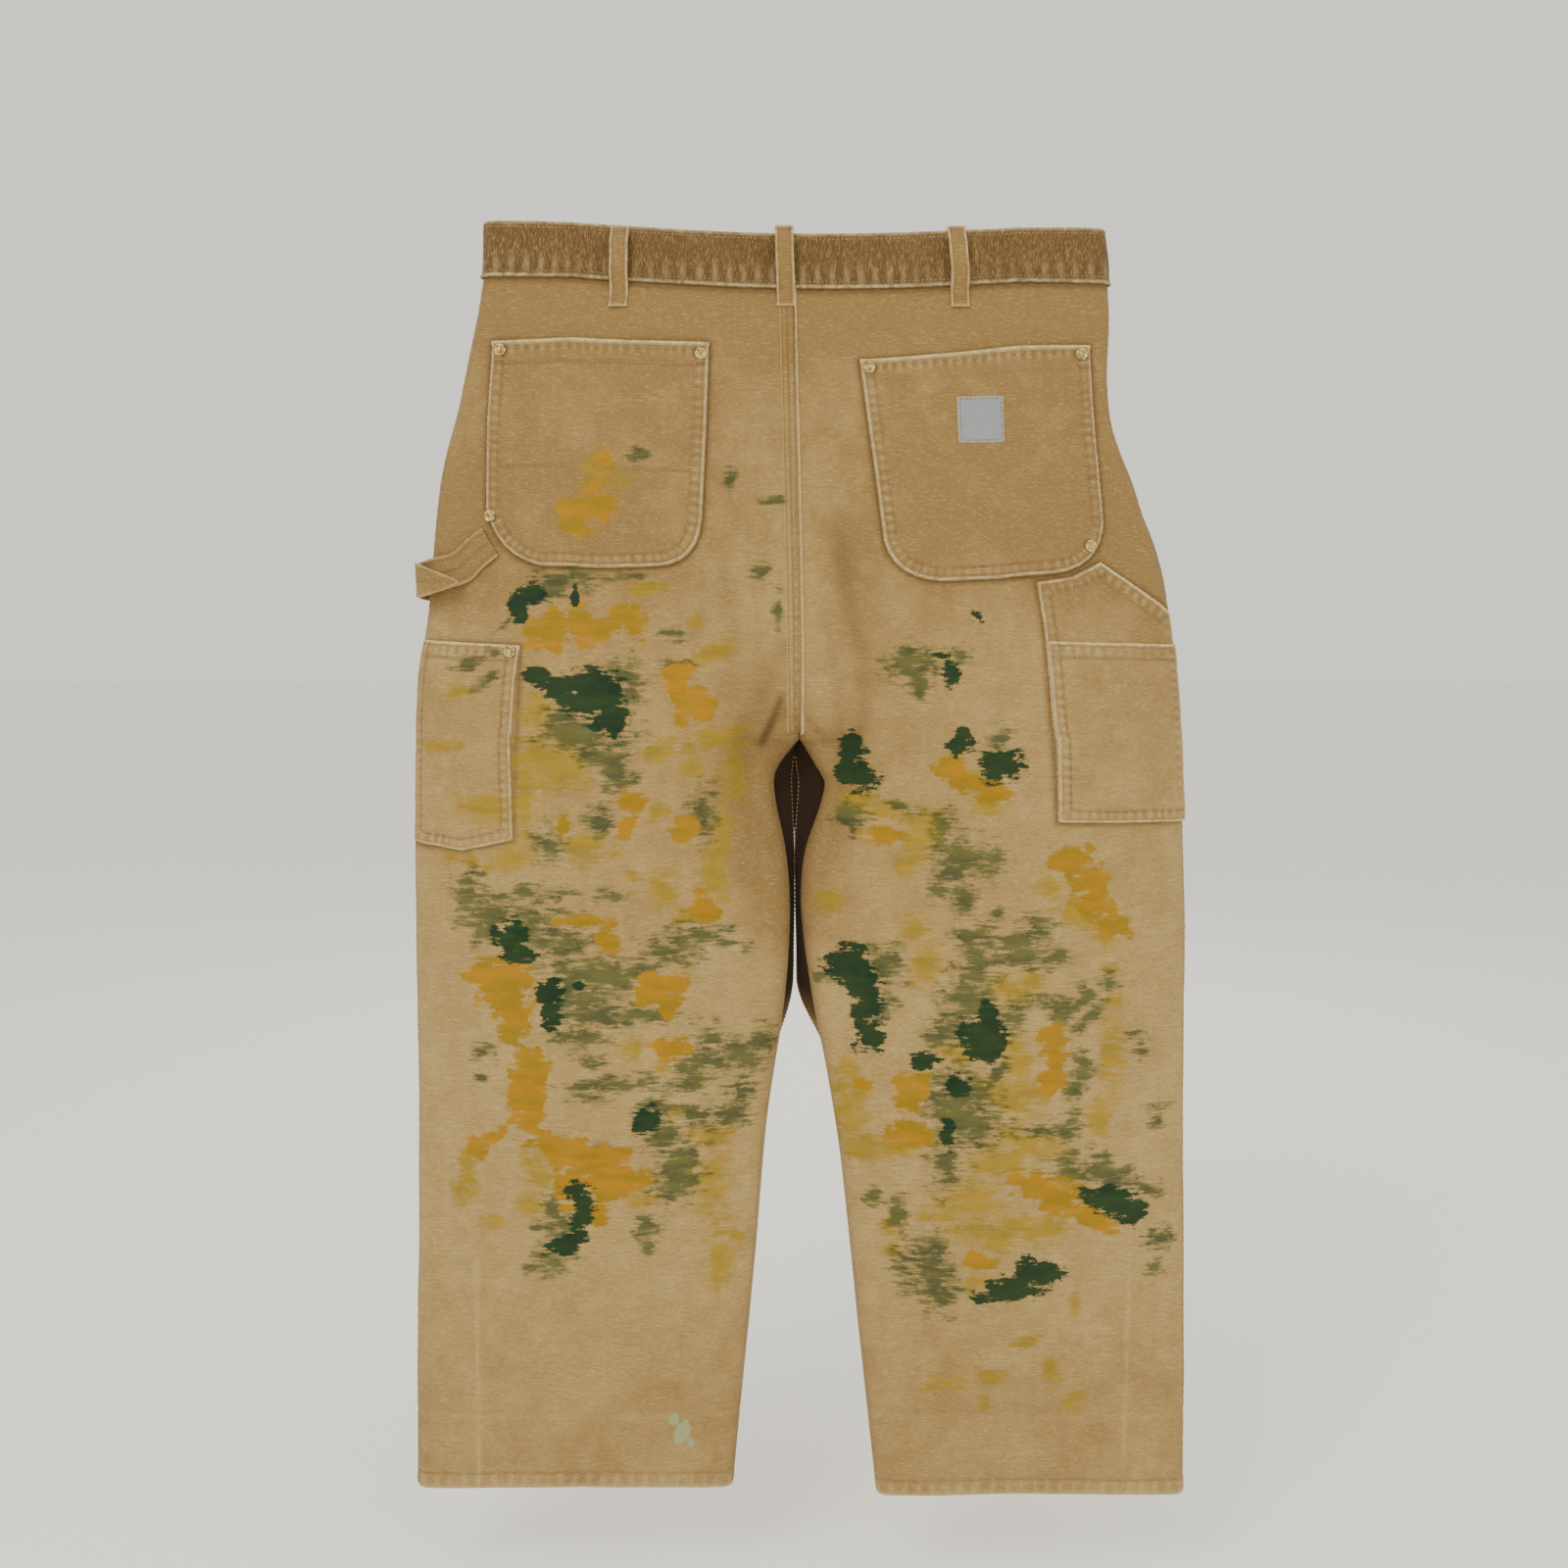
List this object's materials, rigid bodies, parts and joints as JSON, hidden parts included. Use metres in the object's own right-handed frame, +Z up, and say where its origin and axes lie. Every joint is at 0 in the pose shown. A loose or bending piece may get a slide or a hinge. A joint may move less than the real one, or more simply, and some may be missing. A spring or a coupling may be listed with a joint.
{
  "type": "work trousers",
  "caption": "Worn canvas work trousers hung flat by the waistband, with riveted back pockets, tool pockets, a hammer loop, belt loops, a zip fly and a waist button.",
  "frame": {"origin": "on the waistband's top edge, midway between the two places where a hanger's clips grip it", "axes": "+X to the wearer's right, +Y to the wearer's front, +Z up; the pictured back faces -Y"},
  "size_m": [0.6178, 0.0901, 1.0018],
  "materials": {
    "canvas": "worn, washed-out cotton duck with smears of dried paint",
    "band_canvas": "darker, less faded cotton duck",
    "lining": "plain pale cotton twill",
    "brass": "dull and tarnished",
    "zip_tape": "woven tape",
    "label": "woven, plain and blank"
  },
  "bodies": {
    "trousers": {"back_panel_left": "canvas", "back_panel_right": "canvas", "front_panel_left": "canvas", "front_panel_right": "canvas", "back_pocket_left": "canvas", "back_pocket_right": "canvas", "tool_pocket_left": "canvas", "utility_pocket_right": "canvas", "tool_pocket_right": "canvas", "hammer_loop": "canvas", "pocket_facing_left": "canvas", "pocket_facing_right": "canvas", "fly_facing": "canvas", "fly_shield": "canvas", "belt_loop_back_left": "canvas", "belt_loop_back_centre": "canvas", "belt_loop_back_right": "canvas", "belt_loop_front_left": "canvas", "belt_loop_front_right": "canvas", "waistband": "band_canvas", "pocket_lining_left": "lining", "pocket_lining_right": "lining", "pocket_bag_left": "lining", "pocket_bag_right": "lining", "rivet_back_left_inner_top": "brass", "rivet_back_left_outer_top": "brass", "rivet_back_left_outer_bottom": "brass", "rivet_back_right_inner_top": "brass", "rivet_back_right_outer_top": "brass", "rivet_back_right_outer_bottom": "brass", "rivet_tool_pocket_left": "brass", "rivet_front_left_top": "brass", "rivet_front_right_top": "brass", "zipper_teeth_left": "brass", "zipper_teeth_right": "brass", "zipper_top_stop_left": "brass", "zipper_top_stop_right": "brass", "zipper_bottom_stop": "brass", "button_tack": "brass", "zipper_tape_left": "zip_tape", "zipper_tape_right": "zip_tape", "label_patch": "label"},
    "slider": {"zipper_slider": "brass"},
    "pull": {"zipper_pull": "brass"},
    "button": {"waist_button": "brass"}
  },
  "joints": [
    {"name": "zip_slide", "type": "slide", "parent": "trousers", "child": "slider", "axis": [0, 0.1396, -0.9902], "range_m": [0, 0.119]},
    {"name": "pull_hinge", "type": "hinge", "parent": "slider", "child": "pull", "pos_m": [-0.004, 0.01111, -0.06306], "axis": [1, 0, 0], "range_deg": [0, 4]},
    {"name": "button_turn", "type": "hinge", "parent": "trousers", "child": "button", "pos_m": [0, 0.01449, -0.03], "axis": [0.0004, 0.9985, 0.0551], "continuous": true}
  ]
}
